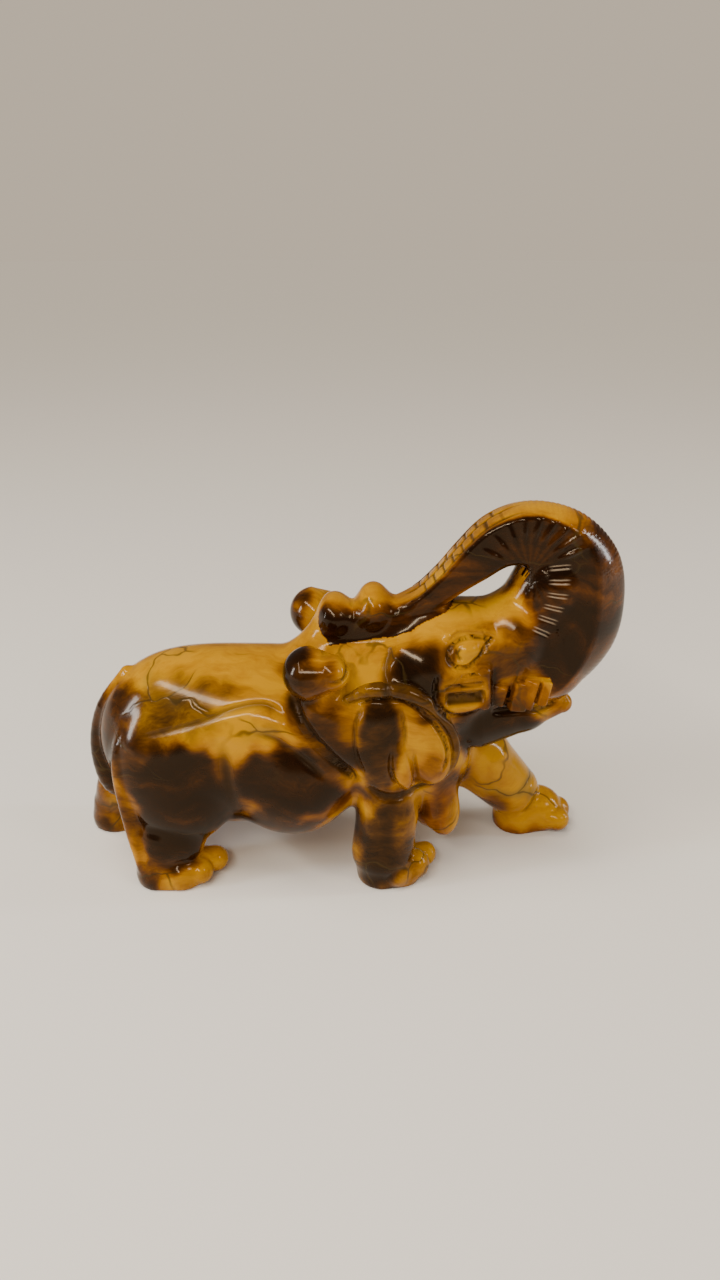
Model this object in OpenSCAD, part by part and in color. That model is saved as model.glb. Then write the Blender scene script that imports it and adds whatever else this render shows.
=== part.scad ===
// Elephant figurine carved from one block of stone, trunk curled back over the head.
// Every size is in millimetres at the standard figure_length of 100 and scales with it.
// +X is the way the elephant faces, +Y its left side, +Z up; the soles stand on z = 0.

/* [Figure] */
// Length from the hind heel to the front of the trunk
figure_length = 100; // [60:1:200]
// Facets round a full turn of every rounded form
facets = 18; // [14:2:24]

/* [Torso] */
// Half width of the barrel
torso_half_width = 12.5; // [11:0.5:13.5]
// Height of the back
back_height = 42; // [40:0.5:44]
// Height of the belly above the ground
belly_height = 7.5; // [6:0.5:10]

/* [Head] */
// Half width of the cranium
head_half_width = 9.2; // [8.5:0.1:10]
// Distance from the middle to the outer face of an ear
ear_reach = 15; // [14:0.25:16]
// Half thickness of an ear
ear_half_thickness = 3.8; // [3:0.1:5]
// Radius of the rolled top of an ear
curl_radius = 4; // [3:0.1:4.5]

/* [Trunk] */
// Half width of the trunk at the top of the arch
trunk_half_width = 5.6; // [4.8:0.1:6.2]
// Half width of the trunk at its tip
tip_half_width = 4.4; // [3.5:0.1:5]

/* [Legs] */
// Distance from the middle to the centre of a foot
foot_offset = 8.8; // [8:0.1:9.5]
// Radius of a heel
heel_radius = 4.9; // [4.2:0.1:5.2]
// Radius of a toe
toe_radius = 2.7; // [2:0.1:3]
// Toes on each foot
toe_count = 3; // [2:1:4]

/* [Hidden] */

unit = figure_length / 100;
right = -1;
left = 1;
big = 200;

// Barrel of the body
barrel_top = back_height;
barrel_half_height = (back_height - belly_height) / 2;
barrel_z = belly_height + barrel_half_height;

// Soles: a heel sits this much lower than its radius, so the ground cuts it flat
sole_cut = 1;
heel_z = heel_radius - sole_cut;
toe_z = toe_radius - 0.5;
// Sideways pitch from one toe to the next
toe_pitch = 3.1;

// Each foot: [middle of the heel along X, heel to the middle toe, side]
front_right = [7.1, 7.9, right];
front_left = [35, 9.2, left];
hind_right = [-32.3, 9.2, right];
hind_left = [-45.1, 9.2, left];

// Trunk from the face, over the arch, to the tip: [x, z, radius, half width]
trunk_path = [
    [33, 40, 7, 7],
    [39, 43, 7.3, 7],
    [42.4, 49.5, 7.6, 6.6],
    [41.4, 56, 7.8, 6.2],
    [38.6, 61, 6.4, 6],
    [33, 63.1, 5.5, trunk_half_width],
    [27.5, 62, 4.8, trunk_half_width],
    [22.5, 58.2, 4.2, trunk_half_width],
    [18, 54, 3.5, trunk_half_width - 0.3],
    [13.5, 50.6, 3.4, tip_half_width + 0.5],
    [8, 49.2, 3.6, tip_half_width + 0.3],
    [0.6, 49, 3.7, tip_half_width]];
// Height up to which the rising trunk belongs to its root
root_top = 52;
// Where the arch ends and the tip begins, and how the trunk slopes there
tip_start = [18, 54];
tip_slope = 43;

// Ball centred on [x, y, z] with radius r
module ball(p, r) translate(p) sphere(r, $fn = facets);

// Egg with centre p and half sizes r
module egg(p, r) hull() translate(p) scale(r) sphere(1, $fn = facets);

// Egg whose +X end is lifted by lean degrees
module leaning_egg(p, r, lean)
    hull() translate(p) rotate([0, -lean, 0]) scale(r) sphere(1, $fn = facets);

// Limb through stations [x, y, z, radius]
module limb(s)
    for (i = [1:len(s) - 1])
        hull() for (k = [i - 1, i]) ball([s[k][0], s[k][1], s[k][2]], s[k][3]);

// One trunk station: a round-sided slab across Y, or an egg where it is thicker than wide
module trunk_station(t)
    for (side = [right, left])
        translate([t[0], side * max(t[3] - t[2], 0), t[1]])
            scale([t[2], min(t[2], t[3]), t[2]]) sphere(1, $fn = facets);

// Part of the figure above the ground
module above_ground() intersection() {
    children();
    translate([-big / 2, -big / 2, 0]) cube(big);
}

// ---------- forms, before they are parted from each other ----------

module torso_form() {
    hull() {
        egg([-26.5, 0, barrel_z + 0.2], [17, torso_half_width, barrel_half_height - 0.5]);
        egg([-10, 0, barrel_z], [17, torso_half_width + 0.5, barrel_half_height]);
    }
    hull() {
        egg([-10, 0, barrel_z + 1], [16, torso_half_width, barrel_half_height - 1.2]);
        egg([8, 0, barrel_z + 3], [12.5, torso_half_width - 0.7, barrel_half_height - 2.4]);
    }
    // Neck, rising to the head
    hull() {
        egg([3, 0, barrel_top - 11], [11, 11, 12.5]);
        egg([13, 0, barrel_top - 7.5], [8, 10, 11.5]);
    }
    // Chest and the brisket between the front legs
    egg([14, 0, 22], [10.5, 9.5, 12.5]);
    for (side = [right, left]) egg([18.5, side * 5, 12.5], [4.6, 4.5, 8]);
    // Belly, fullest behind the ears
    for (side = [right, left]) leaning_egg([-8.6, side * 5.9, 19.4], [11.8, 8.4, 11.2], -10);
    // Stem that carries the tip of the trunk
    limb([[-3.5, 0, 41, 4.2], [-1, 0, 45.4, 3.2]]);
    limb([[-1, 0, 44.6, 3.2], [9, 0, 44.6, 4]]);
}

// Square cheek with two slots across it
module cheek_form(side) translate([21.4, side * 8.1, 37.9]) rotate([0, -4, 0]) difference() {
    cube([9, 3.6, 8.2], center = true);
    translate([0, side * 1.8, -1.1]) cube([7.4, 2.4, 1.8], center = true);
    translate([0, side * 1.8, 1.4]) cube([7.4, 1.6, 0.7], center = true);
}

module head_form() {
    egg([19, 0, 41.3], [11, head_half_width, 9.6]);
    for (side = [right, left]) {
        egg([12.8, side * 5.2, 41], [6.2, 4.8, 6.6]);
        egg([21.2, side * 4.4, 36.5], [5.6, 4.5, 7.6]);
        cheek_form(side);
        egg([29.3, side * 3.4, 44], [5.6, 4.6, 7]);
    }
    // Bridge from the forehead up into the front of the trunk's loop
    limb([[21, 0, 43, 7], [27.5, 0, 45.8, 6], [32, 0, 48.8, 5.4], [34.4, 0, 52.8, 4.8]]);
    // Lip of the upper jaw, below the root of the trunk
    limb([[22, 0, 36, 7.6], [33, 0, 37, 6.2]]);
}

module jaw_form() {
    hull() {
        egg([24.5, 0, 29.5], [6, 6.2, 7]);
        egg([32.5, 0, 30.6], [4.5, 5, 5]);
    }
    limb([[32.5, 0, 30.8, 4.8], [40.2, 0, 31, 2.1]]);
}

// Short worn tusk, cut across into three facets: [x, z, half sizes]
module tusk_form(side)
    for (t = [[28.6, 36.3, [1.9, 2.2, 2.2]], [31.9, 36.2, [1.9, 2.5, 2.8]], [35, 36.9, [1.5, 2.3, 2.9]]])
        translate([t[0], side * 5.7, t[1]]) rotate([0, -10, 0]) cube(2 * t[2], center = true);

module eye_form(side) egg([21, side * (head_half_width - 1), 44.6], [3.1, 1.5, 2.1]);

module trunk_form() {
    for (i = [1:len(trunk_path) - 1])
        hull() {
            trunk_station(trunk_path[i - 1]);
            trunk_station(trunk_path[i]);
        }
    // Knob on top of the tip
    egg([6, 0, 50.4], [3, tip_half_width, 3.8]);
}

module root_zone() translate([23, -big / 2, root_top - big]) cube(big);

module tip_zone() translate([tip_start[0], 0, tip_start[1]])
    rotate([0, -tip_slope, 0]) translate([-big, -big / 2, -big / 2]) cube(big);

module ear_form(side) {
    reach = side * (ear_reach - ear_half_thickness);
    egg([7.6, reach, 30.5], [12.4, ear_half_thickness - 0.9, 10.8]);
    // Three folds, from the back to the front
    leaning_egg([-0.4, reach - side * 0.5, 33], [5.6, ear_half_thickness - 0.4, 8.6], 28);
    leaning_egg([7, reach, 29.4], [4.5, ear_half_thickness, 10], -3);
    leaning_egg([14.3, reach - side * 0.3, 29.4], [4.9, ear_half_thickness - 0.3, 9], 16);
}

module curl_form(side) {
    reach = side * (ear_reach - curl_radius + 0.1);
    limb([[-4.5, reach, 42.2, curl_radius], [0.8, reach, 43, curl_radius * 0.8]]);
    limb([[-3, reach - side * 1.5, 40, 3], [-3, side * 8, 36, 3]]);
}

module tail_form()
    limb([[-38, 0, 37, 1.6], [-41.8, 0, 30.5, 1.9], [-43.6, 0, 23, 2.1], [-41.5, 0, 15.5, 2.6],
          [-40.5, 0, 12.5, 1.2]]);

// Leg that comes down to foot f through stations [x, distance from the middle, z, radius]
module leg_form(f, s)
    limb([for (p = s) [p[0], f[2] * p[1], p[2], p[3]]]);

module front_right_leg_form()
    leg_form(front_right, [[7.5, 7, 22, 6.5], [9, 8.4, 12, 5.3], [8.6, 8.7, 6, 5]]);

module front_left_leg_form()
    leg_form(front_left, [[18, 6, 22, 7], [26.5, 7.6, 15, 6.8], [34, 8.4, 8.5, 5.4]]);

module hind_right_leg_form() {
    egg([-29, right * 7.2, 21.5], [11.3, 7, 13.5]);
    leg_form(hind_right, [[-29, 7.6, 14, 7], [-32.4, 8.6, 6.5, 5.2]]);
}

module hind_left_leg_form() {
    egg([-31, left * 7.2, 21.5], [11.8, 7, 13.5]);
    leg_form(hind_left, [[-34, 7.6, 15, 7.2], [-44, 8.6, 6.5, 5.4]]);
}

// Foot f: a heel, an instep and a row of toes, cut flat by the ground
module foot_form(f) above_ground() {
    y = f[2] * foot_offset;
    limb([[f[0], y, heel_z, heel_radius], [f[0] + f[1] * 0.6, y, heel_z - 0.9, heel_radius - 0.8]]);
    for (i = [0:toe_count - 1]) {
        across = (i - (toe_count - 1) / 2) * toe_pitch;
        hull() {
            ball([f[0] + f[1] * 0.45, y + across * 0.7, toe_z + 0.5], toe_radius);
            ball([f[0] + f[1] - abs(across) * 0.3, y + across, toe_z], toe_radius);
        }
    }
}

// ---------- the regions of the stone, which meet face to face ----------

module torso() color("goldenrod") scale(unit) above_ground() torso_form();

module head() color("darkgoldenrod") scale(unit) difference() {
    head_form();
    torso_form();
    for (side = [right, left]) {
        eye_form(side);
        tusk_form(side);
    }
}

module lower_jaw() color("sandybrown") scale(unit) difference() {
    jaw_form();
    head_form();
    torso_form();
    for (side = [right, left]) tusk_form(side);
}

module tusk(side) color("orange") scale(unit) tusk_form(side);

module eye(side) color("gold") scale(unit) eye_form(side);

module trunk_root() color("saddlebrown") scale(unit) difference() {
    intersection() {
        trunk_form();
        root_zone();
    }
    head_form();
    jaw_form();
    for (side = [right, left]) tusk_form(side);
}

module trunk_arch() color("sienna") scale(unit) difference() {
    trunk_form();
    root_zone();
    tip_zone();
    head_form();
}

module trunk_tip() color("peru") scale(unit) difference() {
    intersection() {
        trunk_form();
        tip_zone();
    }
    root_zone();
    head_form();
    torso_form();
}

module ear(side) color("chocolate") scale(unit) difference() {
    ear_form(side);
    head_form();
    torso_form();
}

module ear_curl(side) color("maroon") scale(unit) difference() {
    curl_form(side);
    ear_form(side);
    torso_form();
    head_form();
}

module tail() color("brown") scale(unit) difference() {
    tail_form();
    torso_form();
}

module front_leg(f) color("burlywood") scale(unit) difference() {
    if (f[2] == right) front_right_leg_form();
    else front_left_leg_form();
    foot_form(f);
    torso_form();
    ear_form(f[2]);
}

module hind_leg(f) color("sienna") scale(unit) difference() {
    if (f[2] == right) hind_right_leg_form();
    else hind_left_leg_form();
    foot_form(f);
    torso_form();
}

module foot(f) color("orange") scale(unit) foot_form(f);

torso();
head();
lower_jaw();
tusk(right);  // right_tusk
tusk(left);  // left_tusk
eye(right);  // right_eye
eye(left);  // left_eye
trunk_root();
trunk_arch();
trunk_tip();
ear(right);  // right_ear
ear(left);  // left_ear
ear_curl(right);  // right_ear_curl
ear_curl(left);  // left_ear_curl
tail();
front_leg(front_right);  // front_right_leg
front_leg(front_left);  // front_left_leg
hind_leg(hind_right);  // hind_right_leg
hind_leg(hind_left);  // hind_left_leg
foot(front_right);  // front_right_foot
foot(front_left);  // front_left_foot
foot(hind_right);  // hind_right_foot
foot(hind_left);  // hind_left_foot
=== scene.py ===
"""Looks of the carved tiger's-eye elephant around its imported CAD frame.

The stone is modelled the way it is carved: a distance field in millimetres is built up from rounded forms,
lines are cut into it, and a fine mesh is drawn over its surface. The mesh is then parted into the regions
that the CAD nodes name, so that each region rides on the frame and replaces its own node.
"""
import math

import bpy
import numpy as np
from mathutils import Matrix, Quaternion, Vector


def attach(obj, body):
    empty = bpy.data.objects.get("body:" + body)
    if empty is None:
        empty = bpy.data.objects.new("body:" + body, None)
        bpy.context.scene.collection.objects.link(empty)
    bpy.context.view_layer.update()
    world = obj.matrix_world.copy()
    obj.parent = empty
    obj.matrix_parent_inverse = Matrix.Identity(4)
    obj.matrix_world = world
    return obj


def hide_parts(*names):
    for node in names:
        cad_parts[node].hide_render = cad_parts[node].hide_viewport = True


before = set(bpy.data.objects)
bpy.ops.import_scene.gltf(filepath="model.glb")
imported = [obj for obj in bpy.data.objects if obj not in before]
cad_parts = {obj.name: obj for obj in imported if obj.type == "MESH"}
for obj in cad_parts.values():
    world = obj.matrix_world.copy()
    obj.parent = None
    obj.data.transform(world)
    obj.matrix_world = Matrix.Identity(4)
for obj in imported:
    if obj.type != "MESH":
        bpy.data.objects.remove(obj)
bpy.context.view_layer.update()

MM = 0.001
FAR = 9.0           # distance given to points that are clear of every form
RIGHT, LEFT, BOTH = -1, 1, 0


# ---------- forms: each is (lowest corner, highest corner, distance function) ----------

def egg(centre, radii, lean=0.0):
    """Ellipsoid, turned by lean degrees in the XZ plane (positive lifts its +X end)."""
    c, r = np.array(centre, float), np.array(radii, float)
    cos, sin = math.cos(math.radians(lean)), math.sin(math.radians(lean))

    def distance(p):
        q = p - c
        if lean:
            q = np.column_stack([q[:, 0] * cos + q[:, 2] * sin, q[:, 1], q[:, 2] * cos - q[:, 0] * sin])
        q = q / r
        k0 = np.sqrt((q * q).sum(1))
        q = q / r
        k1 = np.sqrt((q * q).sum(1))
        return np.where(k0 < 0.01, -r.min(), k0 * (k0 - 1) / np.maximum(k1, 1e-9))

    reach = r if not lean else np.array([max(r[0], r[2]), r[1], max(r[0], r[2])])
    return c - reach, c + reach, distance


def limb(*stations, k=0.6):
    """Round bar through stations (x, y, z, radius)."""
    s = np.array(stations, float)

    def distance(p):
        best = None
        for a, b in zip(s[:-1], s[1:]):
            ab = b[:3] - a[:3]
            t = np.clip(((p - a[:3]) @ ab) / (ab @ ab), 0, 1)
            q = p - a[:3] - t[:, None] * ab
            d = np.sqrt((q * q).sum(1)) - (a[3] + (b[3] - a[3]) * t)
            best = d if best is None else smooth_min(best, d, k)
        return best

    radius = s[:, 3:4]
    return (s[:, :3] - radius).min(0), (s[:, :3] + radius).max(0), distance


def block(centre, half, lean=0.0, turn=0.0, edge=0.5):
    """Box with rounded edges, leaned in the XZ plane and then turned about Z, both in degrees."""
    c, h = np.array(centre, float), np.array(half, float) - edge
    cos, sin = math.cos(math.radians(lean)), math.sin(math.radians(lean))
    across, ahead = math.cos(math.radians(turn)), math.sin(math.radians(turn))

    def distance(p):
        q = p - c
        x, y, z = q[:, 0] * across + q[:, 1] * ahead, q[:, 1] * across - q[:, 0] * ahead, q[:, 2]
        q = np.abs(np.column_stack([x * cos + z * sin, y, z * cos - x * sin])) - h
        outside = np.sqrt((np.maximum(q, 0) ** 2).sum(1))
        return outside + np.minimum(q.max(1), 0) - edge

    reach = np.linalg.norm(half)
    return c - reach, c + reach, distance


def cord(*stations, per_span=4):
    """Round bar along a smooth curve through stations (x, y, z, radius)."""
    return limb(*spline(stations, per_span), k=0.02)


def smooth_min(a, b, k):
    h = np.clip(0.5 + 0.5 * (b - a) / k, 0, 1)
    return b + (a - b) * h - k * h * (1 - h)


def smooth_max(a, b, k):
    return -smooth_min(-a, -b, k)


def spline(points, per_span=6):
    """Smooth curve through given points, of any number of coordinates."""
    p = np.array(points, float)
    p = np.vstack([2 * p[0] - p[1], p, 2 * p[-1] - p[-2]])
    t = np.linspace(0, 1, per_span, endpoint=False)[:, None]
    spans = []
    for a, b, c, d in zip(p[:-3], p[1:-2], p[2:-1], p[3:]):
        spans.append(0.5 * (2 * b + (c - a) * t + (2 * a - 5 * b + 4 * c - d) * t ** 2
                            + (3 * b - a - 3 * c + d) * t ** 3))
    return np.vstack([*spans, p[-2:-1]])


def nearest_corner(curve, q, chunk=20000):
    """Index of the curve's corner nearest to each point."""
    found = [np.argmin(((q[i:i + chunk, None] - curve) ** 2).sum(2), 1) for i in range(0, len(q), chunk)]
    return np.concatenate(found) if found else np.zeros(0, int)


def along(curve, q):
    """Nearest place on a plane curve: (distance, arc length there, signed side, distance past its ends)."""
    steps = np.diff(curve, axis=0)
    size = np.linalg.norm(steps, axis=1)
    lengths = np.concatenate([[0], np.cumsum(size)])
    corner = nearest_corner(curve, q)
    best = np.full(len(q), 1e9)
    place, side, past = np.zeros(len(q)), np.zeros(len(q)), np.zeros(len(q))
    last = len(steps) - 1
    for i in (np.clip(corner - 1, 0, last), np.clip(corner, 0, last)):
        u = steps[i] / size[i, None]
        w = q - curve[i]
        t = (w * u).sum(1)
        free = np.clip(t, 0, size[i])
        d = np.hypot(w[:, 0] - free * u[:, 0], w[:, 1] - free * u[:, 1])
        over = np.where(i == 0, np.maximum(-t, 0), 0) + np.where(i == last, np.maximum(t - size[i], 0), 0)
        closer = d < best
        best = np.where(closer, d, best)
        place = np.where(closer, lengths[i] + free, place)
        side = np.where(closer, w[:, 1] * u[:, 0] - w[:, 0] * u[:, 1], side)
        past = np.where(closer, over, past)
    return best, place, side, past


class Clay:
    """Distance from points p to the stone, built up form by form, and which region each point belongs to."""

    def __init__(self, p):
        self.p = p
        self.folded = np.column_stack([p[:, 0], np.abs(p[:, 1]), p[:, 2]])
        self.d = np.full(len(p), FAR)
        self.bare = np.full(len(p), FAR)      # nearest form on its own, without blending
        self.owner = np.zeros(len(p), int)
        self.part = 0
        self.shaded_cut = np.zeros(len(p))      # depth of the cuts that get painted shade and are left rougher
        self.pale_cut = np.zeros(len(p))      # depth of the scratched, unpolished cuts

    def region(self, name):
        """Forms that follow belong to this region or, on the left flank, to its left twin if it has one."""
        self.part = REGIONS.index(name)

    def claim(self, near, d):
        closer = d < self.bare[near]
        mine = near[closer]
        self.bare[mine] = d[closer]
        paired = REGIONS[self.part].startswith("right_") and REGIONS[self.part][6:] in PAIRED
        self.owner[mine] = self.part + (paired & (self.p[mine, 1] > 0))

    def add(self, form, k=1.0, both=False):
        """Blends a form in, over k millimetres; one for both flanks is given on the left one."""
        points = self.folded if both else self.p
        low, high, distance = form
        margin = 3 + k
        near = np.flatnonzero(((points > low - margin) & (points < high + margin)).all(1))
        d = distance(points[near])
        self.d[near] = smooth_min(self.d[near], d, k)
        self.claim(near, d)

    def pair(self, form, k=1.0):
        self.add(form, k, both=True)

    def line(self, points, width, depth, side=BOTH, beyond=6.0, taper=1.5, pale=False):
        """Groove (or ridge, where depth is below 0) along an XZ curve, on one flank or on both."""
        curve = spline(points)
        q = self.p[:, [0, 2]]
        low, high = curve.min(0) - 3 * width, curve.max(0) + 3 * width
        on = ((q > low) & (q < high)).all(1) & (np.abs(self.p[:, 1]) > beyond)
        if side != BOTH:
            on &= self.p[:, 1] * side > 0
        near = np.flatnonzero(on)
        if len(near) == 0:
            return
        d, place, _, _ = along(curve, q[near])
        length = np.linalg.norm(np.diff(curve, axis=0), axis=1).sum()
        ends = np.clip(np.minimum(place, length - place) / taper, 0, 1) if taper else 1.0
        cut = depth * ends * np.exp(-(d / width) ** 2)
        self.d[near] += cut
        mask = self.pale_cut if pale else self.shaded_cut
        mask[near] = np.maximum(mask[near], cut)


# Folds fan out over the side of the arch from one centre, these many degrees apart.
FOLD_X, FOLD_Z, FOLD_REACH = 31.6, 57.6, (4.4, 10.0)
FOLDS, FOLD_FIRST, FOLD_PITCH = 9, 156.0, 16.0

# Pairs of scratches on the trunk: they point at one centre, from which they lie these many degrees apart.
SCRATCH_X, SCRATCH_Z, SCRATCH_REACH = 18.0, 57.0, (16.6, 20.4)
SCRATCH_PAIRS, SCRATCH_FIRST, SCRATCH_PITCH = 6, 4.7, 7.0
SCRATCH_SPLIT = 1.0          # from the middle of a pair to each of its lines, in degrees

# Regions are the CAD nodes; of a pair, the right one comes first and the left one next.
PAIRED = ("tusk", "eye", "ear", "ear_curl")
TRUNK_REGIONS = ("trunk_root", "trunk_arch", "trunk_tip")
REGIONS = ["torso", "head", "lower_jaw", *TRUNK_REGIONS, "tail",
           "right_tusk", "left_tusk", "right_eye", "left_eye", "right_ear", "left_ear",
           "right_ear_curl", "left_ear_curl", "front_right_leg", "front_left_leg", "hind_right_leg",
           "hind_left_leg", "front_right_foot", "front_left_foot", "hind_right_foot", "hind_left_foot"]


# ---------- the trunk: a band swept along a curve in the middle plane ----------

# x, z, thickness inside and outside the curve, crown of the outer face, half width
TRUNK = np.array([
    (31.0, 36.5, 6.5, 4.0, 1.6, 7.0),
    (36.5, 39.5, 6.5, 3.6, 4.4, 6.9),
    (39.6, 45.0, 6.8, 3.3, 6.3, 6.6),
    (40.2, 51.0, 8.6, 3.4, 6.4, 6.2),
    (39.3, 56.5, 8.2, 3.8, 5.6, 6.0),
    (36.6, 60.8, 7.0, 4.6, 3.2, 5.8),
    (32.0, 62.8, 6.2, 4.8, 1.5, 5.6),
    (27.2, 61.4, 4.5, 4.8, 0.7, 5.6),
    (22.8, 57.9, 3.7, 4.1, 0.6, 5.5),
    (18.6, 54.2, 3.0, 3.2, 0.6, 5.2),
    (14.2, 50.9, 3.2, 2.6, 0.6, 5.0),
    (9.5, 49.6, 4.1, 2.2, 0.6, 5.2),
    (4.5, 49.2, 4.5, 1.6, 0.6, 5.3),
    (0.0, 49.3, 4.3, 2.0, 0.6, 5.1),
    (-2.2, 49.7, 3.9, 2.0, 0.4, 4.9)])
PER_STATION = 10
TRUNK_CURVE = spline(TRUNK, PER_STATION)
TRUNK_STEPS = np.linalg.norm(np.diff(TRUNK_CURVE[:, :2], axis=0), axis=1)
TRUNK_LENGTHS = np.concatenate([[0], np.cumsum(TRUNK_STEPS)])
# corners of the space around the trunk
TRUNK_LOW, TRUNK_HIGH = np.array([-9.0, -12.0, 24.0]), np.array([56.0, 12.0, 76.0])


def trunk_place(x):
    """Arc length along the trunk at the station with this x on its way back from the arch."""
    top = np.argmax(TRUNK_CURVE[:, 1])
    return float(np.interp(-x, -TRUNK_CURVE[top:, 0], TRUNK_LENGTHS[top:]))


RISE_END = TRUNK_LENGTHS[5 * PER_STATION]     # the rising part of the trunk ends here, and the arch begins
ARCH_END = TRUNK_LENGTHS[10 * PER_STATION]    # the arch ends here, and the lying tip begins


def bump(t, centre, spread):
    return np.exp(-((t - centre) / spread) ** 2)


def trunk_frame(p):
    """Arc length, height over the curve, distance past its ends, and the band's measures there."""
    _, t, side, past = along(TRUNK_CURVE[:, :2], p[:, [0, 2]])
    inner, outer, crown, half = (np.interp(t, TRUNK_LENGTHS, TRUNK_CURVE[:, i]) for i in (2, 3, 4, 5))
    return t, -side, past, inner, outer, crown, half


def add_trunk(c, carved):
    near = np.flatnonzero(((c.p > TRUNK_LOW) & (c.p < TRUNK_HIGH)).all(1))
    p = c.p[near]
    t, r, past, inner, outer, crown, half = trunk_frame(p)
    y = np.abs(p[:, 1])
    across = np.clip(y / half, 0, 1.4)
    sharp = 2 - 0.5 * np.clip((RISE_END - t) / 6, 0, 1)      # the rising part is keeled like a boat
    top = outer + crown * (1 - across ** sharp)
    slope = sharp * crown * across ** (sharp - 1) / half
    if carved:
        bricks = brick_lines(t, p[:, 1])
        top = top - bricks
        # painted shade in the joints between the scales, by their depth
        c.shaded_cut[near] = np.maximum(c.shaded_cut[near], np.where(r > outer * 0.3, 2.6 * bricks, 0))
    lying = np.clip((t - ARCH_END) / 4, 0, 1)          # the lying tip is rounder than the band of the arch
    d = smooth_max((r - top) / np.sqrt(1 + slope ** 2), y - half, 0.6 + 3.4 * lying)
    d = smooth_max(d, -inner - r, 2.2 + 2.0 * lying)
    d = smooth_max(d, past - 0.8, 3.4)
    c.d[near] = smooth_min(c.d[near], d, 1.0)
    ends = (-1, RISE_END, ARCH_END, 1e3)
    for name, start, stop in zip(TRUNK_REGIONS, ends, ends[1:]):
        c.region(name)
        part = (t > start) & (t <= stop)
        c.claim(near[part], d[part])


# brick-like scales: their length along the trunk, their width across it, and the grooves between them
BRICK_LENGTH, BRICK_WIDTH = 2.3, 3.2
ROW_GROOVE, JOINT_GROOVE = (0.28, 0.24), (0.26, 0.22)      # width and depth


def brick_lines(t, y):
    """Two rows of scales on the outer face, from the top of the arch to the neck."""
    start, stop = trunk_place(29.5), trunk_place(14.0)
    width, depth = ROW_GROOVE
    rows = bump(y, 0, width) + bump(y, BRICK_WIDTH, width) + bump(y, -BRICK_WIDTH, width)
    rows_fade = np.clip((t - trunk_place(38)) / 3, 0, 1) * np.clip((stop + 3 - t) / 3, 0, 1)
    grooves = depth * rows * rows_fade
    width, depth = JOINT_GROOVE
    shift = np.where(y > 0, 0.5, 0.0)
    phase = np.abs((t / BRICK_LENGTH + shift) % 1 - 0.5) * BRICK_LENGTH
    joints = np.exp(-(phase / width) ** 2) * (np.abs(y) < BRICK_WIDTH)
    joints_fade = np.clip((t - start) / 2, 0, 1) * np.clip((stop - t) / 2, 0, 1)
    return grooves + depth * joints * joints_fade


# ---------- the elephant ----------

def torso(c):
    c.region("torso")
    c.add(egg((-26.3, 0, 25), (17.2, 12.2, 16.6)))
    c.add(egg((-9, 0, 25), (20, 12.2, 17)), 8)
    c.add(egg((8, 0, 28), (13, 11.3, 14.3)), 6)
    c.add(limb((2, 0, 33.5, 11), (15, 0, 38.3, 9.4)), 4)
    c.add(egg((14, 0, 22), (10, 8.8, 12)), 4)
    # belly, and the shelf of its upper edge with a nub at the end
    c.pair(egg((-8.6, 5.6, 19.8), (11.8, 8.4, 11.6), lean=-10), 1.6)
    c.pair(cord((-14, 8.6, 32.6, 2.0), (-9, 9.2, 31.4, 2.4), (-4.4, 9.8, 28.2, 2.3), (-1.2, 10.0, 25.0, 2.1)),
           1.6)
    # stem and web that carry the tip of the trunk
    c.add(limb((-3.6, 0, 41.5, 3.4), (-1.0, 0, 48, 2.9)), 5)
    c.add(limb((-0.6, 0, 45.6, 3.0), (12, 0, 46.2, 4.0)), 2)
    # loose skin of the chest between the front legs
    c.add(egg((17.0, 0, 15.0), (4.9, 7.2, 9.4)), 1.6)
    c.pair(egg((18.6, 4.6, 12.4), (3.4, 2.8, 6.4), lean=8), 1.2)


def tail(c):
    c.region("tail")
    c.add(cord((-37.6, 0, 37.2, 1.3), (-41.9, 0, 30.4, 1.9), (-43.7, 0, 23, 2.1), (-42.6, 0, 16, 2.5),
               (-41.2, 0, 12.2, 1.2)), 0.8)


def hind_right(c):
    c.region("hind_right_leg")
    c.add(egg((-29, -6.9, 21.5), (11.0, 6.8, 13.6)), 1.4)
    c.add(egg((-28.2, -7.4, 16.0), (9.0, 5.9, 8.9), lean=12), 1.2)
    c.add(limb((-32, -8.4, 9, 4.6), (-32.8, -8.8, 4.6, 4.4)), 1.2)
    c.add(egg((-29.6, -8.4, 8.0), (5.2, 4.7, 5.4)), 1.6)
    c.add(cord((-36.4, -7.4, 31, 0.5), (-38.2, -8.9, 26, 1.1), (-38.0, -9.7, 20, 1.5),
               (-36.6, -10.6, 10, 1.4), (-35.2, -11.4, 4, 1.3)), 1.0)
    c.region("hind_right_foot")
    foot(c, (-32.4, -9.1), ((-23.1, -7.2, 2.5, 2.4), (-25.4, -10.6, 2.3, 2.4), (-29.0, -11.6, 2.6, 2.3)))


def hind_left(c):
    c.region("hind_left_leg")
    c.add(egg((-31, 6.9, 21.5), (11.4, 6.8, 13.6)), 1.4)
    c.add(limb((-33, 7.8, 16, 6.6), (-43.4, 8.6, 8, 4.9), (-45, 8.8, 4.6, 4.4)), 2)
    c.add(cord((-36.8, 7.6, 30, 0.5), (-39.2, 9.2, 25, 1.1), (-42.6, 10.0, 18, 1.4), (-47.0, 10.6, 10, 1.3),
               (-48.0, 10.8, 5, 1.2)), 1.0)
    c.region("hind_left_foot")
    foot(c, (-45.0, 8.9), ((-35.9, 7.0, 2.5, 2.4), (-37.8, 10.6, 2.3, 2.4), (-41.4, 11.8, 2.6, 2.3)))


def front_right(c):
    c.region("front_right_leg")
    c.add(limb((8, -6, 22, 6.0), (8.6, -8, 13, 5.5), (7.9, -8.5, 5.5, 5.7)), 1.4)
    c.region("front_right_foot")
    foot(c, (8.0, -8.7), ((15.6, -5.6, 2.4, 2.3), (13.6, -9.2, 2.8, 2.8), (10.4, -11.5, 2.6, 2.5)))


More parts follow.
